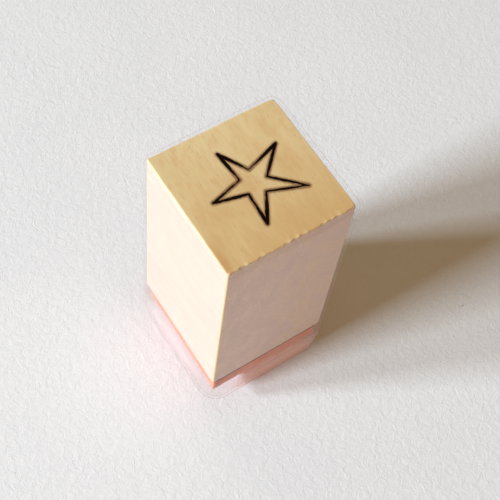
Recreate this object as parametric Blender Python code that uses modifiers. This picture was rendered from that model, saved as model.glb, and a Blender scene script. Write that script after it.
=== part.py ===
"""A small wood-mounted rubber stamp with a star on it, standing in the thin clear plastic case it is kept in.

Metres, +Z up. The origin is the middle of the case's underside, on the surface that the case stands on.
The stamp is everything but the case. It lifts straight up out of the case, along its parent empty's Z.
"""

import math

import bmesh
import bpy
from mathutils import Vector

MM = 0.001

# The wood block, square in plan.
BLOCK_SIDE = 15.0 * MM
BLOCK_HEIGHT = 27.2 * MM
BLOCK_EDGE = 0.3 * MM

# The cushion and the adhesive films on both sides of it. The cushion is cut a little smaller than the
# block, and sits towards the block's front left corner, as the die does.
FOAM_SIDE = 14.1 * MM
FOAM_THICKNESS = 1.8 * MM
FOAM_CORNER = 0.3 * MM
FOAM_SHIFT = Vector((-0.3 * MM, -0.4 * MM))
FILM_THICKNESS = 0.1 * MM

# The die: a base sheet, and the star's lines standing out of it. The base is trimmed to the cushion on three
# sides and narrower on the left, with the corner that the star leaves free cut off round. The lines' sides
# slope, so the lines are as wide here as they are halfway up.
DIE_WIDTH = 13.2 * MM
DIE_DEPTH = 14.0 * MM
DIE_SHIFT = Vector((0.1 * MM, -0.4 * MM))
DIE_CORNER = 2.0 * MM
DIE_FRONT_LEFT_CORNER = 5.2 * MM
DIE_BASE_THICKNESS = 1.3 * MM
DIE_RELIEF = 1.6 * MM
DIE_LINE = 0.6 * MM

# The clear case, a shell open at the top, whose rim is level with the block's top.
CASE_SIDE = 16.2 * MM
CASE_WALL = 0.3 * MM
CASE_CORNER = 1.3 * MM

# Clearances: under the die, and between one bonded layer and the next.
REST_GAP = 0.3 * MM
BOND_GAP = 0.1 * MM

# The star's outline as it is drawn by hand: tip and inner corner in turn, from the block's middle.
STAR_POINTS = [
    Vector((x * MM, y * MM))
    for x, y in (
        (-1.15, 4.50),
        (0.60, 1.40),
        (4.65, 2.70),
        (1.70, -0.15),
        (4.75, -3.10),
        (0.70, -1.55),
        (-1.20, -4.70),
        (-0.95, -0.95),
        (-4.50, -0.10),
        (-0.85, 0.85),
    )
]
STAR_LINE = 0.3 * MM

# How finely round shapes are divided, and the steepest fold that is shaded smooth.
EDGE_SEGMENTS = 2
CASE_CORNER_SEGMENTS = 5
CORNER_STEPS = 12
TIP_STEPS = 4
SMOOTH_UP_TO = math.radians(30)

# Heights of each layer's underside, from the surface up.
DIE_Z = CASE_WALL + REST_GAP
DIE_BASE_Z = DIE_Z + DIE_RELIEF
CUSHION_FILM_Z = DIE_BASE_Z + DIE_BASE_THICKNESS + BOND_GAP
FOAM_Z = CUSHION_FILM_Z + FILM_THICKNESS + BOND_GAP
BLOCK_FILM_Z = FOAM_Z + FOAM_THICKNESS + BOND_GAP
BLOCK_Z = BLOCK_FILM_Z + FILM_THICKNESS + BOND_GAP
BLOCK_TOP_Z = BLOCK_Z + BLOCK_HEIGHT
PRINT_Z = BLOCK_TOP_Z + BOND_GAP
CASE_HEIGHT = BLOCK_TOP_Z

WELD_DISTANCE = 1e-7
BOOLEAN_OVERLAP = 0.2 * MM


def clear_scene():
    for obj in list(bpy.data.objects):
        bpy.data.objects.remove(obj)


def make_collection(name):
    collection = bpy.data.collections.new(name)
    bpy.context.scene.collection.children.link(collection)
    return collection


def make_material(name, colour, roughness, metallic=0.0, alpha=1.0, transmission=0.0):
    material = bpy.data.materials.new(name)
    material.use_nodes = True
    shader = material.node_tree.nodes["Principled BSDF"]
    shader.inputs["Base Color"].default_value = (*colour, 1.0)
    shader.inputs["Roughness"].default_value = roughness
    shader.inputs["Metallic"].default_value = metallic
    shader.inputs["Alpha"].default_value = alpha
    shader.inputs["Transmission Weight"].default_value = transmission
    return material


def add_mesh_object(name, bm, collection, material):
    mesh = bpy.data.meshes.new(name)
    bm.to_mesh(mesh)
    bm.free()
    mesh.materials.append(material)
    obj = bpy.data.objects.new(name, mesh)
    collection.objects.link(obj)
    return obj


def add_bevel(obj, width, segments):
    bevel = obj.modifiers.new("Rounded edges", "BEVEL")
    bevel.width = width
    bevel.segments = segments
    bevel.limit_method = "ANGLE"
    bevel.harden_normals = True


def box_mesh(side, height):
    """A box that is square in plan, standing on z = 0."""
    bm = bmesh.new()
    bmesh.ops.create_cube(bm, size=1.0)
    bmesh.ops.scale(bm, vec=(side, side, height), verts=bm.verts)
    bmesh.ops.translate(bm, vec=(0.0, 0.0, height / 2), verts=bm.verts)
    return bm


def arc(centre, radius, start, end, steps):
    """Points along an arc, its ends included. Angles are in radians."""
    angles = [start + (end - start) * i / steps for i in range(steps + 1)]
    return [centre + Vector((math.cos(a), math.sin(a))) * radius for a in angles]


def rounded_rectangle(width, depth, radii):
    """A rectangle's outline with round corners, anticlockwise from the corner at +X, +Y."""
    points = []
    for quarter, radius in enumerate(radii):
        start = quarter * math.pi / 2
        diagonal = start + math.pi / 4
        across = math.copysign(width / 2 - radius, math.cos(diagonal))
        along = math.copysign(depth / 2 - radius, math.sin(diagonal))
        centre = Vector((across, along))
        points += arc(centre, radius, start, start + math.pi / 2, CORNER_STEPS)
    return points


def normal_beside(direction, distance):
    """A direction's unit normal: on its left for a positive distance, on its right for a negative one."""
    return Vector((-direction.y, direction.x)) * math.copysign(1.0, distance)


def line_beside(points, distance):
    """The outline that runs beside a closed line, on its left for a positive distance.

    Where the line turns away from the outline, the outline goes round the corner on an arc.
    """
    outline = []
    for i, corner in enumerate(points):
        before = (corner - points[i - 1]).normalized()
        after = (points[(i + 1) % len(points)] - corner).normalized()
        turn = math.atan2(before.cross(after), before.dot(after))
        normal = normal_beside(before, distance)
        if turn * distance < 0:
            start = math.atan2(normal.y, normal.x)
            outline += arc(corner, abs(distance), start, start + turn, TIP_STEPS)
        else:
            mitre = (normal + normal_beside(after, distance)).normalized()
            outline.append(corner + mitre * abs(distance) / math.cos(turn / 2))
    return outline


def star_outlines(line_width):
    """The two edges of the star's line."""
    return [line_beside(STAR_POINTS, line_width / 2), line_beside(STAR_POINTS, -line_width / 2)]


def add_sheet(name, outlines, low, thickness, collection, material):
    """A flat sheet with the given outlines, the inner ones being holes, with its underside at z = low."""
    curve = bpy.data.curves.new(name, "CURVE")
    curve.dimensions = "2D"
    curve.fill_mode = "BOTH"
    curve.extrude = thickness / 2
    for outline in outlines:
        spline = curve.splines.new("POLY")
        spline.points.add(len(outline) - 1)
        for point, place in zip(spline.points, outline):
            point.co = (place.x, place.y, 0.0, 1.0)
        spline.use_cyclic_u = True
    flat = bpy.data.objects.new(name + ".outline", curve)
    collection.objects.link(flat)
    flat.location.z = low + thickness / 2
    obj = mesh_from_curve(name, flat, collection)
    obj.data.materials.append(material)
    return obj


def mesh_from_curve(name, flat, collection):
    """Swaps a curve object for a welded mesh object in the same place."""
    bpy.context.view_layer.update()
    evaluated = flat.evaluated_get(bpy.context.evaluated_depsgraph_get())
    mesh = bpy.data.meshes.new_from_object(evaluated)
    mesh.name = name
    bm = bmesh.new()
    bm.from_mesh(mesh)
    bmesh.ops.remove_doubles(bm, verts=bm.verts, dist=WELD_DISTANCE)
    bmesh.ops.recalc_face_normals(bm, faces=bm.faces)
    bm.to_mesh(mesh)
    bm.free()
    obj = bpy.data.objects.new(name, mesh)
    obj.matrix_world = flat.matrix_world
    collection.objects.link(obj)
    bpy.data.objects.remove(flat)
    return obj


def clear_case(parts):
    material = make_material("clear_plastic", (0.93, 0.94, 0.96), 0.06, alpha=0.25, transmission=0.9)
    bm = box_mesh(CASE_SIDE, CASE_HEIGHT)
    top = [face for face in bm.faces if face.normal.z > 0.5]
    bmesh.ops.delete(bm, geom=top, context="FACES_ONLY")
    case = add_mesh_object("clear_case", bm, parts, material)
    add_bevel(case, CASE_CORNER, CASE_CORNER_SEGMENTS)
    shell = case.modifiers.new("Wall", "SOLIDIFY")
    shell.thickness = CASE_WALL
    shell.offset = -1.0
    shell.use_even_offset = True
    return case


def wood_block(parts):
    material = make_material("pale_wood", (0.72, 0.53, 0.32), 0.62)
    block = add_mesh_object("wood_block", box_mesh(BLOCK_SIDE, BLOCK_HEIGHT), parts, material)
    block.location.z = BLOCK_Z
    add_bevel(block, BLOCK_EDGE, EDGE_SEGMENTS)
    return block


def star_index_print(parts):
    material = make_material("black_ink", (0.018, 0.015, 0.013), 0.55)
    outlines = star_outlines(STAR_LINE)
    return add_sheet("star_index_print", outlines, PRINT_Z, FILM_THICKNESS, parts, material)


def cushion_layer(name, low, thickness, parts, material):
    """A layer with the cushion's outline: the cushion itself, or a film on one side of it."""
    outline = rounded_rectangle(FOAM_SIDE, FOAM_SIDE, [FOAM_CORNER] * 4)
    layer = add_sheet(name, [outline], low, thickness, parts, material)
    layer.location.xy = FOAM_SHIFT
    return layer


def foam_cushion(parts):
    material = make_material("coral_foam", (0.85, 0.27, 0.18), 0.85)
    return cushion_layer("foam_cushion", FOAM_Z, FOAM_THICKNESS, parts, material)


def adhesive_films(parts):
    material = make_material("dark_adhesive", (0.10, 0.035, 0.02), 0.4)
    return [
        cushion_layer("block_adhesive", BLOCK_FILM_Z, FILM_THICKNESS, parts, material),
        cushion_layer("cushion_adhesive", CUSHION_FILM_Z, FILM_THICKNESS, parts, material),
    ]


def rubber_die(parts, cutters):
    """The base sheet and the star's raised line, joined as the one moulding that they are."""
    material = make_material("red_rubber", (0.72, 0.22, 0.16), 0.6)
    corners = [DIE_CORNER, DIE_CORNER, DIE_FRONT_LEFT_CORNER, DIE_CORNER]
    base_outline = [point + DIE_SHIFT for point in rounded_rectangle(DIE_WIDTH, DIE_DEPTH, corners)]
    die = add_sheet("rubber_die", [base_outline], DIE_BASE_Z, DIE_BASE_THICKNESS, parts, material)
    relief_height = DIE_RELIEF + BOOLEAN_OVERLAP
    relief = add_sheet("star_relief", star_outlines(DIE_LINE), DIE_Z, relief_height, cutters, material)
    relief.hide_render = True
    relief.display_type = "WIRE"
    join = die.modifiers.new("Star", "BOOLEAN")
    join.operation = "UNION"
    join.solver = "EXACT"
    join.object = relief
    return die, relief


def smooth_round_pieces(objects):
    for obj in objects:
        obj.data.shade_smooth()
        obj.data.set_sharp_from_angle(angle=SMOOTH_UP_TO)


def build():
    clear_scene()
    parts = make_collection("rubber_stamp_in_case")
    cutters = make_collection("cutters")
    case = clear_case(parts)
    die, relief = rubber_die(parts, cutters)
    stamp = bpy.data.objects.new("stamp", None)
    parts.objects.link(stamp)
    pieces = [
        wood_block(parts),
        star_index_print(parts),
        foam_cushion(parts),
        *adhesive_films(parts),
        die,
    ]
    for piece in [*pieces, relief]:
        piece.parent = stamp
    smooth_round_pieces([case, *pieces])


build()
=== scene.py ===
"""The looks of a small wood-mounted star stamp that stands in its thin clear plastic case.

Everything is in metres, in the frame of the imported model: +Z up, the case's underside at z = 0.
"""

import math

import bmesh
import bpy
import numpy as np
from mathutils import Matrix, Vector, geometry, noise


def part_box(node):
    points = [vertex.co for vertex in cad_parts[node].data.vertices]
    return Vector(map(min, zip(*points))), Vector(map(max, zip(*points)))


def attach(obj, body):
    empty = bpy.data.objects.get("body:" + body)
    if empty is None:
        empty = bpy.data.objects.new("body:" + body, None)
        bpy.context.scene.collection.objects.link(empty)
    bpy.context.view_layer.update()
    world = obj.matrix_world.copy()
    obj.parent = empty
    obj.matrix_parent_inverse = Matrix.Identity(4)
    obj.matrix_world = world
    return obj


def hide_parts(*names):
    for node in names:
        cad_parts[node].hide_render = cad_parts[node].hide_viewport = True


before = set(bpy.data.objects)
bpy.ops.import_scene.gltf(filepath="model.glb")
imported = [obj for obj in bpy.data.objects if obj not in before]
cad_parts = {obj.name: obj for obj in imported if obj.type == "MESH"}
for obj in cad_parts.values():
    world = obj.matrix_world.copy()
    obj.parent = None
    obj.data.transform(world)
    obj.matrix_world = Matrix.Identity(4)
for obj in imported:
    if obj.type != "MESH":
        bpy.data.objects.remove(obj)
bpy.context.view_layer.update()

MM = 0.001
PER_METRE = 1000.0

WOOD_LOW, WOOD_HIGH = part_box("wood_block")
WOOD_TOP = WOOD_HIGH.z
BLOCK_SIDE = WOOD_HIGH.x - WOOD_LOW.x
BLOCK_FOOT = Vector(((WOOD_LOW.x + WOOD_HIGH.x) / 2, (WOOD_LOW.y + WOOD_HIGH.y) / 2, WOOD_LOW.z))
FOAM_LOW, FOAM_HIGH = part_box("foam_cushion")
DIE_LOW, DIE_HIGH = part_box("rubber_die")
CASE_LOW, CASE_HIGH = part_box("clear_case")
CASE_HALF = (CASE_HIGH.x - CASE_LOW.x) / 2
CASE_WALL = 0.3 * MM

# The camera, in block sides from the middle of the block's underside.
CAMERA_FROM_BLOCK = Vector((-2.514, -2.934, 7.950))
CAMERA_AZIMUTH = math.radians(41.55)
CAMERA_ELEVATION = math.radians(61.25)
CAMERA_ROLL = math.radians(9.74)
CAMERA_LENS = 79.8


# ---------------------------------------------------------------- node helpers


class Tree:
    """A short way to write a material's nodes."""

    def __init__(self, name):
        self.material = bpy.data.materials.new(name)
        self.material.use_nodes = True
        self.tree = self.material.node_tree
        self.shader = self.tree.nodes["Principled BSDF"]
        self.output = self.tree.nodes["Material Output"]
        self.place = self.node("TexCoord").outputs["Object"]

    def node(self, kind, **settings):
        made = self.tree.nodes.new("ShaderNode" + kind)
        for key, value in settings.items():
            setattr(made, key, value)
        return made

    def link(self, source, target):
        if isinstance(source, bpy.types.NodeSocket):
            self.tree.links.new(source, target)
        else:
            target.default_value = source

    def maths(self, operation, a, b=0.0, clamp=False):
        made = self.node("Math", operation=operation, use_clamp=clamp)
        self.link(a, made.inputs[0])
        self.link(b, made.inputs[1])
        return made.outputs[0]

    def times(self, a, b):
        return self.maths("MULTIPLY", a, b)

    def plus(self, a, b, clamp=False):
        return self.maths("ADD", a, b, clamp)

    def minus(self, a, b):
        return self.maths("SUBTRACT", a, b)

    def stretched(self, scale, source=None):
        """The object's own coordinates in millimetres, times scale on each axis."""
        made = self.node("Mapping")
        made.inputs["Scale"].default_value = [PER_METRE * s for s in scale]
        self.link(source or self.place, made.inputs["Vector"])
        return made.outputs[0]

    def noise(self, vector, scale=1.0, detail=2.0, roughness=0.5, distortion=0.0):
        made = self.node("TexNoise")
        self.link(vector, made.inputs["Vector"])
        self.link(scale, made.inputs["Scale"])
        self.link(detail, made.inputs["Detail"])
        self.link(roughness, made.inputs["Roughness"])
        self.link(distortion, made.inputs["Distortion"])
        return made.outputs["Fac"]

    def voronoi(self, vector, feature="F1", randomness=1.0):
        made = self.node("TexVoronoi", feature=feature)
        self.link(vector, made.inputs["Vector"])
        self.link(1.0, made.inputs["Scale"])
        self.link(randomness, made.inputs["Randomness"])
        return made.outputs["Distance"]

    def ramp(self, value, low, high, to_low=0.0, to_high=1.0):
        """Maps low..high to to_low..to_high with smooth ends."""
        made = self.node("MapRange", interpolation_type="SMOOTHSTEP")
        self.link(value, made.inputs["Value"])
        self.link(low, made.inputs["From Min"])
        self.link(high, made.inputs["From Max"])
        self.link(to_low, made.inputs["To Min"])
        self.link(to_high, made.inputs["To Max"])
        return made.outputs[0]

    def mix(self, factor, a, b, blend="MIX"):
        """Two colours mixed."""
        made = self.node("Mix", data_type="RGBA", blend_type=blend)
        self.link(factor, made.inputs["Factor"])
        for socket, value in ((made.inputs["A"], a), (made.inputs["B"], b)):
            self.link(value if isinstance(value, bpy.types.NodeSocket) else (*value, 1.0), socket)
        return made.outputs["Result"]

    def axis(self, name):
        """One coordinate of the object's own space, in metres."""
        made = self.node("SeparateXYZ")
        self.link(self.place, made.inputs[0])
        return made.outputs[name]

    def painted(self, name):
        """A number that the mesh holds for each of its points."""
        return self.node("Attribute", attribute_name=name).outputs["Fac"]

    def blend(self, factor, a, b):
        """Two shaders mixed."""
        made = self.node("MixShader")
        self.link(factor, made.inputs[0])
        self.link(a.outputs[0], made.inputs[1])
        self.link(b.outputs[0], made.inputs[2])
        return made

    def bump(self, height, distance, strength=1.0):
        made = self.node("Bump")
        self.link(strength, made.inputs["Strength"])
        self.link(distance, made.inputs["Distance"])
        self.link(height, made.inputs["Height"])
        self.link(made.outputs[0], self.shader.inputs["Normal"])

    def set(self, **values):
        for key, value in values.items():
            self.link(value, self.shader.inputs[key.replace("_", " ")])


# ---------------------------------------------------------------- mesh helpers


def finished(obj, body, slot, material, *nodes):
    """Gives a piece its material, lets it ride on its body and stand for its CAD nodes."""
    obj.data.materials.clear()
    obj.data.materials.append(material)
    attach(obj, body)
    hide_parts(*nodes)
    return obj


def mesh_object(name, vertices, faces):
    mesh = bpy.data.meshes.new(name)
    mesh.from_pydata([tuple(v) for v in vertices], [], [tuple(f) for f in faces])
    mesh.update()
    mesh.shade_smooth()
    obj = bpy.data.objects.new(name, mesh)
    bpy.context.scene.collection.objects.link(obj)
    return obj


def field(points, frequency, seed=0.0):
    """Smooth noise from -1 to 1 at each point. frequency is in cycles per millimetre, one per axis or one."""
    scale = np.broadcast_to(np.asarray(frequency, float), 3) * PER_METRE
    shift = Vector((seed * 17.3, seed * -9.1, seed * 5.7))
    return np.array([noise.noise(Vector(p) + shift) for p in points * scale])


def graded(low, high, step, edge_step, edge):
    """Places from low to high, finer within edge of both ends."""
    near = np.linspace(0.0, edge, max(2, round(edge / edge_step) + 1))
    middle = np.linspace(low + edge, high - edge, max(2, round((high - low - 2 * edge) / step) + 1))
    return np.concatenate([low + near[:-1], middle, high - near[::-1][1:]])


def slab_surface(lines):
    """The surface of a box as quads between the given places on each axis, welded at its edges."""
    points, faces = [], []
    for axis in range(3):
        u, v = (axis + 1) % 3, (axis + 2) % 3
        for end in (0, -1):
            grid = np.empty((len(lines[u]), len(lines[v]), 3))
            grid[..., axis] = lines[axis][end]
            grid[..., u] = lines[u][:, None]
            grid[..., v] = lines[v][None, :]
            index = np.arange(grid.shape[0] * grid.shape[1]).reshape(grid.shape[:2]) + sum(map(len, points))
            quads = np.stack([index[:-1, :-1], index[1:, :-1], index[1:, 1:], index[:-1, 1:]], -1)
            quads = quads.reshape(-1, 4)
            faces.append(quads if end == -1 else quads[:, ::-1])
            points.append(grid.reshape(-1, 3))
    points, faces = np.concatenate(points), np.concatenate(faces)
    _, first, same = np.unique(
        np.round(points * 1e8).astype(np.int64), axis=0, return_index=True, return_inverse=True
    )
    return points[first], same.reshape(-1)[faces]


def rounded(points, low, high, radius):
    """Moves a box's surface points so that its edges are round. Returns the points and their normals."""
    radius = np.asarray(radius).reshape(-1, 1)
    inner = np.clip(points, np.array(low) + radius, np.array(high) - radius)
    away = points - inner
    normals = away / np.linalg.norm(away, axis=1, keepdims=True)
    return inner + normals * radius, normals


# ---------------------------------------------------------------- the wood block

SAW_TOOTH = 1.0 * MM
DARK_STROKE_Y = 3.95 * MM


def torn_edge(x):
    """How far the saw tore the top's front edge inwards and how high it left the fibres, in metres."""
    step = x / SAW_TOOTH + 0.6 * np.array([noise.noise(Vector((v * 510.0, 3.7, 0.0))) for v in x])
    tooth = step - np.floor(step)
    size = np.array([0.3 + 0.7 * noise.cell(Vector((math.floor(s), 5.0, 1.0))) for s in step])
    fine = np.array([noise.noise(Vector((v * 3600.0, 0.3, 8.0))) for v in x])
    notch = (0.05 + 0.16 * size * (1 - tooth) ** 1.5 + 0.05 * fine) * MM
    burr = 0.13 * size * np.clip(1 - np.abs(tooth - 0.7) / 0.3, 0, 1) * MM
    return notch, burr


def saw_chips(z):
    """How far the front upright edge is chipped, along z, in metres."""
    coarse = np.array([noise.noise(Vector((v * 1300.0, 6.1, 2.0))) for v in z])
    fine = np.array([noise.noise(Vector((v * 3900.0, 1.3, 4.0))) for v in z])
    return (0.05 + 0.07 * coarse + 0.04 * fine) * MM


def unevenness(points):
    """How far the wood's planed surface lies from flat at each point, in metres. It is never above flat."""
    return (0.012 * field(points, 0.13, 4) + 0.006 * field(points, (0.9, 0.12, 0.9), 5) - 0.014) * MM


class WoodDistances:
    """How far each point of the flat-sided block lies from its faces, in metres."""

    def __init__(self, flat):
        self.left, self.right = flat[:, 0] - WOOD_LOW.x, WOOD_HIGH.x - flat[:, 0]
        self.front, self.back = flat[:, 1] - WOOD_LOW.y, WOOD_HIGH.y - flat[:, 1]
        self.top = WOOD_HIGH.z - flat[:, 2]


def wood_edge_radius(flat, away):
    """The radius of the nearest edge, in metres."""
    # The upright edges on the right are worn rounder than the rest, and the top's right edge is crisp.
    worn = np.clip(1 - (away.right + np.minimum(away.front, away.back)) / (1.2 * MM), 0, 1)
    crisp = np.clip(1 - np.maximum(away.right, away.top) / (0.6 * MM), 0, 1)
    radius = 0.12 + 0.04 * field(flat, 0.5, 1) + 0.03 * field(flat, 2.3, 2)
    return (radius * (1 - 0.65 * crisp) + 0.24 * worn) * MM


def wood_block():
    low, high = np.array(WOOD_LOW), np.array(WOOD_HIGH)
    fine, edge = 0.06 * MM, 0.6 * MM
    steps = (0.12 * MM, 0.12 * MM, 0.32 * MM)
    flat, faces = slab_surface([graded(low[i], high[i], steps[i], fine, edge) for i in range(3)])
    away = WoodDistances(flat)
    points, normals = rounded(flat, low, high, wood_edge_radius(flat, away))
    # The torn front edge of the top: notches that go in, and burrs that stand up between them.
    notch, burr = torn_edge(flat[:, 0])
    near = np.exp(-np.maximum(away.front, 0.7 * away.top) / (0.28 * MM))
    points[:, 1] += notch * near
    points[:, 2] += burr * near ** 1.5
    # Small chips along the front upright edge, and a slightly uneven surface everywhere.
    corner = np.exp(-np.maximum(away.left, away.front) / (0.14 * MM))
    points += normals * (unevenness(flat) - saw_chips(flat[:, 2]) * corner)[:, None]
    block = mesh_object("wood_block_grained", points, faces)
    add_point_value(block, "ink_bleed", ink_bleed(points))
    # The pale fibre colour on the top's edges and the front upright edge is partly frayed fibres and partly a
    # painted highlight where the edges catch the light.
    from_side = np.minimum(np.minimum(away.left, away.right), away.back)
    frayed_highlit_edges = np.exp(-np.maximum(from_side, away.top) / (0.16 * MM)) * (0.6 + 0.5 * field(flat, 1.1, 14))
    torn = np.clip(burr / (0.06 * MM), 0, 1) * near + 0.7 * corner + frayed_highlit_edges
    add_point_value(block, "torn_fibre_highlight", np.clip(torn, 0, 1))
    return finished(block, "stamp", "pale_wood", wood_material(), "wood_block")


def add_point_value(obj, name, values):
    attribute = obj.data.attributes.new(name, "FLOAT", "POINT")
    attribute.data.foreach_set("value", values.astype(np.float32))


def ink_bleed(points):
    """How much of the star's ink has bled into the wood at each point, from 0 to 1."""
    stain = np.zeros(len(points))
    on_top = np.flatnonzero(points[:, 2] > WOOD_TOP - 0.1 * MM)
    segments = [(loop[i - 1], loop[i]) for loop in star_loops() for i in range(len(loop))]
    nearest = np.full(len(on_top), 1.0)
    at = points[on_top, :2]
    for a, b in segments:
        a, b = np.array(a[:2]), np.array(b[:2])
        along = np.clip(((at - a) @ (b - a)) / ((b - a) @ (b - a)), 0, 1)
        nearest = np.minimum(nearest, np.linalg.norm(at - a - along[:, None] * (b - a), axis=1))
    stain[on_top] = np.exp(-nearest / (0.2 * MM))
    return stain


class WoodPatterns:
    """The patterns that the wood's colour, roughness and bump share. The grain runs along Y."""

    def __init__(self, t):
        self.streaks = t.noise(t.stretched((2.6, 0.42, 2.6)), detail=5, roughness=0.65)
        self.fibres = t.noise(t.stretched((12.0, 1.6, 12.0)), detail=3, roughness=0.6)
        vessels = t.ramp(t.voronoi(t.stretched((3.4, 0.8, 3.4))), 0.07, 0.19, 1.0, 0.0)
        patches = t.ramp(t.noise(t.stretched((0.6, 0.35, 0.6)), detail=2), 0.45, 0.62)
        self.vessels = t.times(vessels, patches)
        self.saw_lines = t.noise(t.stretched((0.25, 0.25, 5.5)), detail=3, roughness=0.6)
        # The faces across the grain, at the front and the back, are end grain.
        self.across = t.maths("GREATER_THAN", t.maths("ABSOLUTE", t.axis("Y")), WOOD_HIGH.y - 0.12 * MM)


def bare_wood_colour(t, wood):
    """The planed sides, with their grain, and the sawn end grain."""
    broad = t.noise(t.stretched((0.50, 0.10, 0.50)), detail=4, roughness=0.6, distortion=0.5)
    side = t.mix(t.ramp(broad, 0.3, 0.7), (0.83, 0.655, 0.545), (0.79, 0.605, 0.495))
    # End grain is warmer on its right, and blotched and pored with mauve and grey-brown.
    end = t.mix(t.ramp(t.axis("X"), -5 * MM, 8 * MM), (0.99, 0.735, 0.585), (0.93, 0.635, 0.41))
    blotches = t.noise(t.stretched((0.45, 0.45, 0.30)), detail=4, roughness=0.65, distortion=0.6)
    end = t.mix(t.ramp(blotches, 0.38, 0.66), end, (0.85, 0.615, 0.53))
    end = t.mix(t.ramp(wood.saw_lines, 0.45, 0.75, 0.0, 0.22), end, (0.66, 0.50, 0.41))
    pores = t.noise(t.stretched((3.2, 3.2, 2.6)), detail=4, roughness=0.75)
    end = t.mix(t.ramp(pores, 0.38, 0.62, 0.0, 0.6), end, (0.70, 0.52, 0.45))
    colour = t.mix(wood.across, side, end)
    colour = t.mix(t.ramp(wood.streaks, 0.42, 0.75, 0.0, 0.28), colour, (0.70, 0.51, 0.39))
    colour = t.mix(t.ramp(wood.fibres, 0.5, 0.8, 0.0, 0.34), colour, (0.88, 0.74, 0.63))
    return t.mix(t.times(wood.vessels, 0.36), colour, (0.46, 0.29, 0.19))


def sealed_top(t, wood, colour):
    """The top is sealed, which makes it a deeper honey than the bare sides, the more so to the front."""
    x, y = t.axis("X"), t.axis("Y")
    clouds = t.noise(t.stretched((0.22, 0.12, 0.22)), detail=3, roughness=0.55)
    to_front = t.plus(t.minus(t.times(0.35, x), y), t.ramp(clouds, 0.3, 0.7, -3.5 * MM, 3.5 * MM))
    seal = t.mix(t.ramp(to_front, -9 * MM, 9 * MM), (1.0, 0.985, 0.635), (0.85, 0.70, 0.36))
    mottle = t.noise(t.stretched((1.1, 0.5, 1.1)), detail=3, roughness=0.6)
    seal = t.mix(t.ramp(mottle, 0.45, 0.65, 0.0, 0.36), seal, (0.86, 0.655, 0.34))
    # A darker run of sealer lies along the left edge at the front corner.
    beside = t.ramp(x, WOOD_LOW.x + 0.2 * MM, WOOD_LOW.x + 1.5 * MM, 1.0, 0.0)
    ragged_y = t.plus(y, t.ramp(wood.streaks, 0.2, 0.8, -1.0 * MM, 1.0 * MM))
    at_front = t.ramp(ragged_y, -6.5 * MM, -2.5 * MM, 1.0, 0.0)
    seal = t.mix(t.times(t.times(beside, at_front), 0.75), seal, (0.76, 0.50, 0.22))
    top = t.ramp(t.axis("Z"), WOOD_TOP - 0.16 * MM, WOOD_TOP - 0.05 * MM)
    return t.mix(top, colour, t.mix(1.0, colour, seal, "MULTIPLY"))


def worn_and_highlit_edges(t, wood, colour):
    """Torn fibres on the top's edges, partly a painted highlight along them, and a painted warm highlight on
    the front upright edge.
    """
    torn = t.times(t.painted("torn_fibre_highlight"), t.ramp(wood.fibres, 0.3, 0.7, 0.35, 0.8))
    colour = t.mix(torn, colour, (0.93, 0.79, 0.49))
    # A painted warm highlight runs down the front upright edge.
    from_edge = t.maths("MAXIMUM", t.minus(t.axis("X"), WOOD_LOW.x), t.minus(t.axis("Y"), WOOD_LOW.y))
    return t.mix(t.ramp(from_edge, 0.10 * MM, 0.40 * MM, 0.8, 0.0), colour, (0.95, 0.66, 0.38))


def wood_marks(t, wood, colour):
    """Old glue with painted gap shade, specks, a dark stroke and the ink that has bled into the wood."""
    x, y, z = t.axis("X"), t.axis("Y"), t.axis("Z")
    # A dark line along the lower edge of the end grain is partly old glue and partly painted shade of the gap
    # under the block, and the end grain has a few dark specks.
    glue_and_gap_shade = t.ramp(z, WOOD_LOW.z + 0.07 * MM, WOOD_LOW.z + 0.15 * MM, 0.8, 0.0)
    colour = t.mix(t.times(glue_and_gap_shade, wood.across), colour, (0.13, 0.035, 0.02))
    specks = t.ramp(t.voronoi(t.stretched((0.4, 0.4, 0.4))), 0.03, 0.06, 0.5, 0.0)
    colour = t.mix(t.times(specks, wood.across), colour, (0.35, 0.24, 0.18))
    # A dark stroke lies on the top's right edge, and has ragged ends.
    from_dark_stroke = t.maths("ABSOLUTE", t.minus(y, DARK_STROKE_Y))
    from_dark_stroke = t.plus(from_dark_stroke, t.ramp(wood.fibres, 0.3, 0.7, -0.3 * MM, 0.3 * MM))
    dark_stroke = t.ramp(from_dark_stroke, 0.3 * MM, 0.9 * MM, 0.8, 0.0)
    dark_stroke = t.times(dark_stroke, t.ramp(x, WOOD_HIGH.x - 0.07 * MM, WOOD_HIGH.x - 0.02 * MM))
    dark_stroke = t.times(dark_stroke, t.ramp(z, WOOD_TOP - 0.20 * MM, WOOD_TOP - 0.12 * MM))
    colour = t.mix(dark_stroke, colour, (0.10, 0.06, 0.03))
    soaked = t.times(t.painted("ink_bleed"), t.ramp(wood.fibres, 0.3, 0.7, 0.7, 1.0))
    return t.mix(t.ramp(soaked, 0.12, 0.8, 0.0, 0.9), colour, (0.17, 0.06, 0.02))


def wood_material():
    t = Tree("pale_wood_grain")
    wood = WoodPatterns(t)
    colour = sealed_top(t, wood, bare_wood_colour(t, wood))
    t.set(Base_Color=wood_marks(t, wood, worn_and_highlit_edges(t, wood, colour)))
    t.set(Roughness=t.ramp(wood.streaks, 0.3, 0.8, 0.5, 0.66))
    height = t.plus(t.times(wood.fibres, 0.35), t.times(wood.streaks, 0.65))
    height = t.minus(height, t.times(wood.vessels, 0.6))
    height = t.plus(height, t.times(wood.across, wood.saw_lines))
    t.bump(height, 0.05 * MM, 0.5)
    return t.material


# ---------------------------------------------------------------- the printed star


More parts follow.
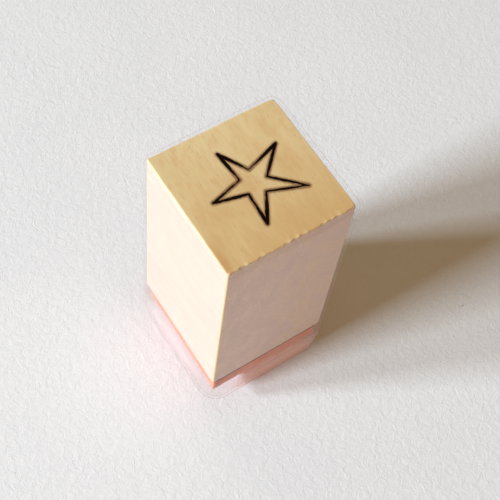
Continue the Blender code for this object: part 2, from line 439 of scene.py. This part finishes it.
def star_loops():
    """The two outlines of the printed star's line, in order, from its CAD solid."""
    bm = bmesh.new()
    bm.from_mesh(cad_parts["star_index_print"].data)
    bmesh.ops.remove_doubles(bm, verts=bm.verts, dist=1e-7)
    bm.normal_update()
    top = {f for f in bm.faces if f.normal.z > 0.9}
    rim = {e for e in bm.edges if sum(f in top for f in e.link_faces) == 1}
    loops = []
    while rim:
        edge = min(rim, key=lambda e: e.index)
        start = here = edge.verts[0]
        loop = []
        while True:
            rim.discard(edge)
            here = edge.other_vert(here)
            loop.append(here.co.copy())
            if here == start:
                break
            edge = next(e for e in here.link_edges if e in rim)
        loops.append(loop)
    bm.free()
    # The outer loop runs anticlockwise and the inner one clockwise, so the ink is on the left of both.
    loops.sort(key=lambda loop: -abs(signed_area(loop)))
    return [loop if (signed_area(loop) > 0) == (i == 0) else loop[::-1] for i, loop in enumerate(loops)]


def signed_area(loop):
    return sum(a.x * b.y - b.x * a.y for a, b in zip(loop, loop[1:] + loop[:1])) / 2


def inked(loop, step=0.07 * MM):
    """An outline resampled finely, with the wobble of a line printed on bare wood."""
    points = []
    for i, b in enumerate(loop):
        a = loop[i - 1]
        count = max(1, round((b - a).length / step))
        points += [a.lerp(b, k / count) for k in range(count)]
    wobbled = []
    for i, p in enumerate(points):
        ahead = points[(i + 2) % len(points)] - points[i - 2]
        out = Vector((ahead.y, -ahead.x, 0.0)).normalized()
        wave = noise.noise(p * 450.0) * 0.12 + noise.noise(p * 2400.0) * 0.045 - 0.03
        wobbled.append(p + out * wave * MM)
    return wobbled


def winding(places, loop):
    """How many times a closed loop runs anticlockwise round each of the places."""
    x, y = places[:, 0], places[:, 1]
    turns = np.zeros(len(places), int)
    for a, b in zip(np.roll(loop, 1, axis=0), loop):
        if a[1] != b[1]:
            spans = (a[1] > y) != (b[1] > y)
            to_left = spans & (x < (b[0] - a[0]) * (y - a[1]) / (b[1] - a[1]) + a[0])
            turns += to_left * (1 if b[1] > a[1] else -1)
    return turns


def filled_band(loops):
    """Points and triangles that fill the band between an outer and an inner loop, in millimetres."""
    places, edges = [], []
    for loop in loops:
        start = len(places)
        places += [Vector((p.x, p.y)) * PER_METRE for p in loop]
        edges += [(start + i, start + (i + 1) % len(loop)) for i in range(len(loop))]
    places, _, triangles, *_ = geometry.delaunay_2d_cdt(places, edges, [], 1, 1e-5)
    places = np.array([tuple(p) for p in places])
    triangles = np.array([tuple(t) for t in triangles])
    middles = places[triangles].mean(axis=1)
    turns = sum(winding(middles, np.array([(p.x, p.y) for p in loop]) * PER_METRE) for loop in loops)
    return places, triangles[turns > 0]


def star_print():
    """The star's line as a thin closed layer of ink that follows the wood's uneven top."""
    places, triangles = filled_band([inked(loop) for loop in star_loops()])
    points = np.column_stack((places * MM, np.full(len(places), WOOD_TOP)))
    points[:, 2] += unevenness(points)
    lift = np.array((0.0, 0.0, 0.012 * MM))
    sides = {(a, b) for t in triangles.tolist() for a, b in zip(t, t[1:] + t[:1])}
    sides = [(a, b) for a, b in sides if (b, a) not in sides]
    count = len(points)
    faces = [tuple(t) for t in triangles.tolist()]
    faces += [tuple(i + count for i in reversed(t)) for t in triangles.tolist()]
    faces += [(b, a, a + count, b + count) for a, b in sides]
    star = mesh_object("star_ink", np.concatenate((points + lift, points - lift)), faces)
    bm = bmesh.new()
    bm.from_mesh(star.data)
    loose = [v for v in bm.verts if not v.link_faces]
    bmesh.ops.delete(bm, geom=loose, context="VERTS")
    bmesh.ops.recalc_face_normals(bm, faces=bm.faces)
    bm.to_mesh(star.data)
    bm.free()
    star.data.shade_flat()
    return finished(star, "stamp", "black_ink", ink_material(), "star_index_print")


def ink_material():
    t = Tree("black_stamp_ink")
    grain = t.noise(t.stretched((9.0, 1.2, 9.0)), detail=4, roughness=0.7)
    t.set(Base_Color=t.mix(t.ramp(grain, 0.5, 0.8), (0.004, 0.0014, 0.0008), (0.035, 0.011, 0.004)))
    t.set(Roughness=t.ramp(grain, 0.3, 0.8, 0.7, 0.9), Specular_IOR_Level=0.06)
    t.bump(grain, 0.02 * MM, 0.5)
    return t.material


# ---------------------------------------------------------------- cushion, films and die


FOAM_SLANT = 0.15 * MM


def foam_cushion():
    # The cushion fills most of the gaps that the CAD solids keep, and bulges a little at mid height.
    low = np.array(FOAM_LOW) - (0.0, 0.0, 0.17 * MM)
    high = np.array(FOAM_HIGH) + (0.0, 0.0, 0.05 * MM)
    lines = [graded(low[i], high[i], 0.22 * MM, 0.08 * MM, 0.5 * MM) for i in (0, 1)]
    lines.append(graded(low[2], high[2], 0.10 * MM, 0.06 * MM, 0.3 * MM))
    flat, faces = slab_surface(lines)
    points, normals = rounded(flat, low, high, 0.10 * MM)
    side = 1 - np.abs(normals[:, 2])
    up = (flat[:, 2] - low[2]) / (high[2] - low[2])
    bulge = 0.10 * np.sin(np.pi * up) ** 2
    cells = 0.035 * field(flat, 3.2, 6) + 0.02 * field(flat, 7.0, 7) + 0.05 * field(flat, 0.4, 8)
    points += normals * ((bulge + cells) * side * MM)[:, None]
    # The left side was cut at a slant, the more so towards the back.
    near_left = np.clip(1 - (flat[:, 0] - low[0]) / (2 * MM), 0, 1)
    backward = np.clip((flat[:, 1] - low[1]) / (8 * MM), 0, 1) ** 0.5
    points[:, 0] += near_left * backward * (1 - up) * FOAM_SLANT
    foam = mesh_object("foam_cushion_cut_edge", points, faces)
    finished(foam, "stamp", "coral_foam", foam_material(), "foam_cushion")
    return foam


def foam_material():
    t = Tree("coral_foam_cells")
    cells = t.voronoi(t.stretched((7.5, 7.5, 7.5)))
    blotches = t.noise(t.stretched((0.6, 0.6, 0.6)), detail=3)
    colour = t.mix(t.ramp(blotches, 0.3, 0.7), (0.86, 0.30, 0.20), (0.90, 0.37, 0.26))
    colour = t.mix(t.ramp(cells, 0.0, 0.45, 0.5, 0.0), colour, (0.55, 0.16, 0.10))
    t.set(Base_Color=colour)
    t.set(Roughness=t.ramp(cells, 0.0, 0.7, 0.95, 0.7))
    t.set(Subsurface_Weight=0.3, Subsurface_Radius=(1.0, 0.35, 0.2), Subsurface_Scale=0.4 * MM)
    t.bump(cells, 0.08 * MM, 0.7)
    return t.material


def adhesive_film(name, node, low_z, high_z, inset, left_inset):
    low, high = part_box(node)
    low = np.array((low.x + left_inset, low.y + inset, low_z))
    high = np.array((high.x - inset, high.y - inset, high_z))
    lines = [graded(low[i], high[i], 0.25 * MM, 0.1 * MM, 0.4 * MM) for i in (0, 1)]
    lines.append(np.linspace(low[2], high[2], 4))
    flat, faces = slab_surface(lines)
    points, normals = rounded(flat, low, high, 0.03 * MM)
    side = 1 - np.abs(normals[:, 2])
    points += normals * (side * 0.06 * field(flat, 0.8, 9) * MM)[:, None]
    film = mesh_object(name, points, faces)
    return finished(film, "stamp", "dark_adhesive", adhesive_material(), node)


def adhesive_material():
    t = Tree("dark_adhesive_film")
    smears = t.noise(t.stretched((1.8, 1.8, 1.8)), detail=4, roughness=0.6)
    t.set(Base_Color=t.mix(t.ramp(smears, 0.3, 0.7), (0.05, 0.012, 0.008), (0.09, 0.022, 0.012)))
    t.set(Roughness=t.ramp(smears, 0.3, 0.7, 0.55, 0.75), Specular_IOR_Level=0.1)
    t.bump(smears, 0.02 * MM, 0.4)
    return t.material


def rubber_die():
    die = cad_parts["rubber_die"]
    mesh = die.data.copy()
    obj = bpy.data.objects.new("rubber_die_moulded", mesh)
    bpy.context.scene.collection.objects.link(obj)
    bm = bmesh.new()
    bm.from_mesh(mesh)
    bmesh.ops.remove_doubles(bm, verts=bm.verts, dist=1e-7)
    bmesh.ops.dissolve_limit(bm, angle_limit=0.01, verts=bm.verts, edges=bm.edges)
    bm.to_mesh(mesh)
    bm.free()
    bevel = obj.modifiers.new("Moulded edges", "BEVEL")
    bevel.width = 0.06 * MM
    bevel.segments = 2
    bevel.limit_method = "ANGLE"
    bevel.angle_limit = math.radians(40)
    bevel.harden_normals = True
    obj.data.shade_smooth()
    return finished(obj, "stamp", "red_rubber", rubber_material(), "rubber_die")


def rubber_material():
    t = Tree("red_die_rubber")
    weave = t.noise(t.stretched((5.0, 5.0, 5.0)), detail=5, roughness=0.65)
    blotches = t.noise(t.stretched((0.5, 0.5, 0.5)), detail=2)
    colour = t.mix(t.ramp(blotches, 0.3, 0.7), (0.84, 0.30, 0.22), (0.88, 0.36, 0.27))
    colour = t.mix(t.ramp(weave, 0.5, 0.75, 0.0, 0.5), colour, (0.72, 0.22, 0.16))
    # Old ink stays on the star's printing face, which is the lowest part.
    face = t.ramp(t.axis("Z"), DIE_LOW.z + 0.10 * MM, DIE_LOW.z + 0.22 * MM, 1.0, 0.0)
    inked_face = t.times(face, t.ramp(weave, 0.3, 0.6, 0.75, 1.0))
    colour = t.mix(inked_face, colour, (0.03, 0.012, 0.012))
    t.set(Base_Color=colour)
    t.set(Roughness=t.ramp(weave, 0.3, 0.7, 0.45, 0.7))
    t.set(Subsurface_Weight=0.5, Subsurface_Radius=(1.0, 0.3, 0.2), Subsurface_Scale=2.0 * MM)
    t.bump(weave, 0.03 * MM, 0.5)
    return t.material


# ---------------------------------------------------------------- the clear case

WALL_CORNER = 1.25 * MM
FOOT_CORNER = 2.7 * MM
FOOT_REACH = 5.0 * MM
FOOT_ROUND = 0.9 * MM
RIM_ROUND = 0.1 * MM
UNDERSIDE_LIFT = 0.06 * MM


def corner_radius(z):
    """The outer radius of the case's upright corners, which widen towards the foot."""
    near_foot = 1 - min(max(z / FOOT_REACH, 0.0), 1.0)
    return WALL_CORNER + (FOOT_CORNER - WALL_CORNER) * near_foot ** 1.5


def case_ring(inset, z, corner_steps=10, side_steps=30):
    """One round of the case at height z, inset from its outer sides."""
    radius = max(corner_radius(z) - inset, 0.3 * MM)
    reach = CASE_HALF - inset - radius
    ring = []
    for quarter in range(4):
        turn = Matrix.Rotation(quarter * math.pi / 2, 2)
        for step in range(corner_steps + 1):
            angle = step / corner_steps * math.pi / 2
            bend = Vector((math.cos(angle), math.sin(angle))) * radius
            ring.append(turn @ (Vector((reach, reach)) + bend))
        for step in range(1, side_steps):
            along = reach - 2 * reach * step / side_steps
            ring.append(turn @ Vector((along, reach + radius)))
    return np.array([(p.x, p.y, z) for p in ring])


def flexed(points):
    """The thin walls bow a little, and the back one leans towards the block."""
    out = points.copy()
    height = points[:, 2] / CASE_HIGH.z
    across = points[:, :2] / CASE_HALF
    facing = np.sign(across) * np.clip((np.abs(across) - 0.8) * 10, 0, 1)
    middle = np.clip(1 - across[:, ::-1] ** 2, 0, 1)
    wave = 0.05 * field(points, 0.09, 12)
    out[:, :2] += facing * middle * (wave * np.clip(height * 4, 0, 1) * MM)[:, None]
    on_back = np.clip((across[:, 1] - 0.8) * 10, 0, 1)
    leftward = np.clip(0.5 - 0.5 * across[:, 0], 0, 1)
    out[:, 1] -= on_back * (0.16 + 0.06 * leftward) * height ** 3 * MM
    return out


def case_profile():
    """Inset and height of each round of the shell, from the underside's middle to the floor's middle."""
    top, wall = CASE_HIGH.z, CASE_WALL
    middle = [inset * MM for inset in (7.6, 6.8, 5.6, 4.4, 3.3, 2.4, 1.7)]
    outer = [(inset, UNDERSIDE_LIFT) for inset in middle]
    quarter = [math.pi / 2 * step / 8 for step in range(9)]
    bend = [(1 - math.sin(angle), 1 - math.cos(angle)) for angle in quarter]
    outer += [(FOOT_ROUND * side, FOOT_ROUND * up) for side, up in bend]
    low = [FOOT_ROUND + step * 0.35 * MM for step in range(1, 13)]
    high = list(np.linspace(low[-1], top - RIM_ROUND, 26)[1:])
    outer += [(0.0, z) for z in low + high]
    outer += [(0.03 * MM, top - 0.03 * MM), (RIM_ROUND, top)]
    inner_round = FOOT_ROUND - wall
    inner = [(inset, wall) for inset in middle]
    inner += [(wall + inner_round * side, wall + inner_round * up) for side, up in bend]
    inner += [(wall, z) for z in low + high]
    inner += [(wall - 0.03 * MM, top - 0.03 * MM), (wall - RIM_ROUND, top)]
    return outer + inner[::-1]


def clear_case():
    profile = case_profile()
    rings = [case_ring(inset, z) for inset, z in profile]
    count = len(rings[0])
    points = flexed(np.concatenate(rings))
    starts = range(0, len(points), count)
    faces = [
        (a + i, a + (i + 1) % count, b + (i + 1) % count, b + i)
        for a, b in zip(starts, starts[1:])
        for i in range(count)
    ]
    faces.append(tuple(range(count))[::-1])
    faces.append(tuple(range(starts[-1], starts[-1] + count)))
    case = mesh_object("clear_case_shell", points, faces)
    edge = [float(inset < 0.05 * MM and z > CASE_HIGH.z - 0.05 * MM) for inset, z in profile]
    add_point_value(case, "rim_edge", np.repeat(edge, count))
    return finished(case, "case", "clear_plastic", clear_material(), "clear_case")


def foot_haze_and_painted_glow(t):
    """How much the thick foot scatters, and in what colour: a pink that turns coral on the right, which is a
    painted glow of light from the cushion.
    """
    x, y = t.axis("X"), t.axis("Y")
    from_corner = t.node("VectorMath", operation="DISTANCE")
    t.link(t.place, from_corner.inputs[0])
    from_corner.inputs[1].default_value = (CASE_LOW.x, CASE_LOW.y, 2 * MM)
    # It scatters less at its front left corner. On its shaded right side it is stronger and redder, a painted
    # coral glow in place of light bounced from the cushion.
    away = t.ramp(from_corner.outputs["Value"], 2.5 * MM, 6.5 * MM, 0.1, 1.0)
    painted_glow_on_right = t.ramp(y, CASE_LOW.y + 0.3 * MM, CASE_LOW.y + 2.2 * MM, 1.0, 0.0)
    painted_glow_on_right = t.times(painted_glow_on_right, t.ramp(x, -6.5 * MM, -1.5 * MM))
    painted_glow_on_right = t.times(painted_glow_on_right, t.ramp(x, 4.5 * MM, 8.0 * MM, 1.0, 0.3))
    low_wall = t.ramp(t.axis("Z"), 2.4 * MM, 6.6 * MM, 1.0, 0.0)
    strength = t.times(t.times(low_wall, t.plus(0.17, t.times(0.42, painted_glow_on_right))), away)
    return strength, t.mix(painted_glow_on_right, (0.93, 0.82, 0.81), (0.98, 0.62, 0.54))


def painted_edge_lines(t, facing):
    """A painted grey shade along the cut rim's back half, and a thin painted line of shade along the foot's
    outline.
    """
    rim_shade_noise = t.noise(t.stretched((2.2, 2.2, 6.0)), detail=3, roughness=0.6)
    rim = t.times(t.painted("rim_edge"), t.ramp(rim_shade_noise, 0.3, 0.7, 0.4, 0.75))
    rim = t.times(rim, t.ramp(t.plus(t.axis("X"), t.axis("Y")), -1 * MM, 3 * MM, 0.12, 1.0))
    foot = t.times(t.ramp(t.axis("Z"), 0.5 * MM, 1.0 * MM, 0.6, 0.0), t.maths("POWER", facing, 5.0))
    return t.plus(rim, foot, clamp=True)


def clear_material():
    t = Tree("clear_thin_plastic")
    # Clear where it is seen straight on, with a little haze and gloss where it is seen at a grazing angle.
    facing = t.node("LayerWeight").outputs["Facing"]
    clouds = t.noise(t.stretched((0.35, 0.35, 0.12)), detail=4, roughness=0.6)
    hazy = t.times(t.ramp(clouds, 0.3, 0.75, 0.02, 0.06), t.maths("POWER", facing, 4.0))
    # The foot's haze carries a painted glow of the cushion's coral light.
    tint, haze_colour = foot_haze_and_painted_glow(t)
    marks = painted_edge_lines(t, facing)
    # The painted shade lines on the rim and the foot are purple-grey.
    haze_colour = t.mix(t.ramp(marks, 0.02, 0.15), haze_colour, (0.50, 0.40, 0.43))
    hazy = t.plus(t.plus(hazy, tint), marks, clamp=True)
    # The walls are too thin to shade the paper or to light it, so the light passes them unchanged.
    rays = t.node("LightPath").outputs
    not_lighting = t.minus(1.0, t.maths("MAXIMUM", rays["Is Shadow Ray"], rays["Is Diffuse Ray"]))
    gloss = t.node("BsdfGlossy")
    gloss.inputs["Roughness"].default_value = 0.06
    clear = t.node("BsdfTransparent")
    clear.inputs["Color"].default_value = (1.0, 0.994, 0.994, 1.0)
    haze = t.node("BsdfDiffuse")
    t.link(haze_colour, haze.inputs["Color"])
    surface = t.blend(t.times(hazy, not_lighting), clear, haze)
    reflected = t.plus(0.008, t.times(0.25, t.maths("POWER", facing, 5.0)))
    surface = t.blend(t.times(reflected, not_lighting), surface, gloss)
    t.link(surface.outputs[0], t.output.inputs["Surface"])
    return t.material


# ---------------------------------------------------------------- floor, lights and camera


def floor():
    side, count = 0.9, 60
    lines = np.linspace(-side / 2, side / 2, count)
    points = [(x, y, 0.0) for x in lines for y in lines]
    faces = [
        (i * count + j, (i + 1) * count + j, (i + 1) * count + j + 1, i * count + j + 1)
        for i in range(count - 1)
        for j in range(count - 1)
    ]
    sheet = mesh_object("floor_paper", points, faces)
    t = Tree("white_paper")
    fibres = t.noise(t.stretched((1.1, 1.1, 1.1)), detail=5, roughness=0.7, distortion=0.8)
    clouds = t.noise(t.stretched((0.06, 0.06, 0.06)), detail=2)
    colour = t.mix(t.ramp(clouds, 0.3, 0.7), (0.825, 0.827, 0.858), (0.85, 0.852, 0.878))
    colour = t.mix(t.ramp(fibres, 0.35, 0.65, 0.0, 0.3), colour, (0.90, 0.902, 0.92))
    specks = t.ramp(t.voronoi(t.stretched((0.16, 0.16, 0.16))), 0.012, 0.022, 0.8, 0.0)
    t.set(Base_Color=t.mix(specks, colour, (0.32, 0.28, 0.27)))
    t.set(Roughness=t.ramp(fibres, 0.3, 0.7, 0.8, 0.95))
    t.bump(fibres, 0.2 * MM, 0.55)
    sheet.data.materials.append(t.material)


LIGHT_DISTANCE = 1.25
DAYLIGHT = (0.81, 0.92, 1.0)
ROOM_LIGHT = (0.285, 0.197, 0.105, 1.0)
BACKDROP = (0.74, 0.735, 0.73, 1.0)


def area_light(name, azimuth, elevation, size, watts):
    """A square light that faces the block. Azimuth is where it stands, in degrees anticlockwise from +X."""
    target = BLOCK_FOOT + Vector((0.0, 0.0, 0.4 * (WOOD_TOP - WOOD_LOW.z)))
    turn, rise = math.radians(azimuth), math.radians(elevation)
    way = Vector((math.cos(rise) * math.cos(turn), math.cos(rise) * math.sin(turn), math.sin(rise)))
    data = bpy.data.lights.new(name, "AREA")
    data.shape = "SQUARE"
    data.size = size
    data.energy = watts
    data.color = DAYLIGHT
    light = bpy.data.objects.new(name, data)
    light.location = target + way * LIGHT_DISTANCE
    light.rotation_euler = way.to_track_quat("Z", "Y").to_euler()
    bpy.context.scene.collection.objects.link(light)


def lights():
    area_light("key", azimuth=173.8, elevation=33, size=0.25, watts=14.3)
    area_light("second", azimuth=156.0, elevation=33, size=0.14, watts=7.4)
    world = bpy.data.worlds.new("studio")
    world.use_nodes = True
    # The room lights the scene with a warm light, and the backdrop itself is pale.
    nodes, links = world.node_tree.nodes, world.node_tree.links
    warm = nodes["Background"]
    warm.inputs["Color"].default_value = ROOM_LIGHT
    pale = nodes.new("ShaderNodeBackground")
    pale.inputs["Color"].default_value = BACKDROP
    seen = nodes.new("ShaderNodeLightPath").outputs["Is Camera Ray"]
    chosen = nodes.new("ShaderNodeMixShader")
    links.new(seen, chosen.inputs[0])
    links.new(warm.outputs[0], chosen.inputs[1])
    links.new(pale.outputs[0], chosen.inputs[2])
    links.new(chosen.outputs[0], nodes["World Output"].inputs["Surface"])
    bpy.context.scene.world = world
    bpy.context.scene.view_settings.view_transform = "Standard"
    # The way from a light to the floor inside the case and back to the camera crosses eight faces of plastic.
    bpy.context.scene.cycles.transparent_max_bounces = 24


def camera():
    flat = math.cos(CAMERA_ELEVATION)
    forward = Vector((
        flat * math.sin(CAMERA_AZIMUTH),
        flat * math.cos(CAMERA_AZIMUTH),
        -math.sin(CAMERA_ELEVATION),
    ))
    level = Vector((math.cos(CAMERA_AZIMUTH), -math.sin(CAMERA_AZIMUTH), 0.0))
    lift = level.cross(forward)
    right = level * math.cos(CAMERA_ROLL) + lift * math.sin(CAMERA_ROLL)
    up = lift * math.cos(CAMERA_ROLL) - level * math.sin(CAMERA_ROLL)
    data = bpy.data.cameras.new("camera")
    data.lens = CAMERA_LENS
    data.sensor_width = 36.0
    data.clip_start = 0.001
    made = bpy.data.objects.new("camera", data)
    turned = Matrix((right, up, -forward)).transposed().to_4x4()
    made.matrix_world = Matrix.Translation(BLOCK_FOOT + CAMERA_FROM_BLOCK * BLOCK_SIDE) @ turned
    bpy.context.scene.collection.objects.link(made)
    bpy.context.scene.camera = made


camera()
lights()
floor()
wood_block()
star_print()
foam_cushion()
adhesive_film(
    "block_adhesive_film", "block_adhesive",
    low_z=FOAM_HIGH.z + 0.03 * MM, high_z=WOOD_LOW.z + 0.02 * MM, inset=0.0, left_inset=0.3 * MM,
)
adhesive_film(
    "cushion_adhesive_film", "cushion_adhesive",
    low_z=DIE_HIGH.z - 0.02 * MM, high_z=FOAM_LOW.z - 0.15 * MM, inset=0.3 * MM, left_inset=1.0 * MM,
)
rubber_die()
clear_case()
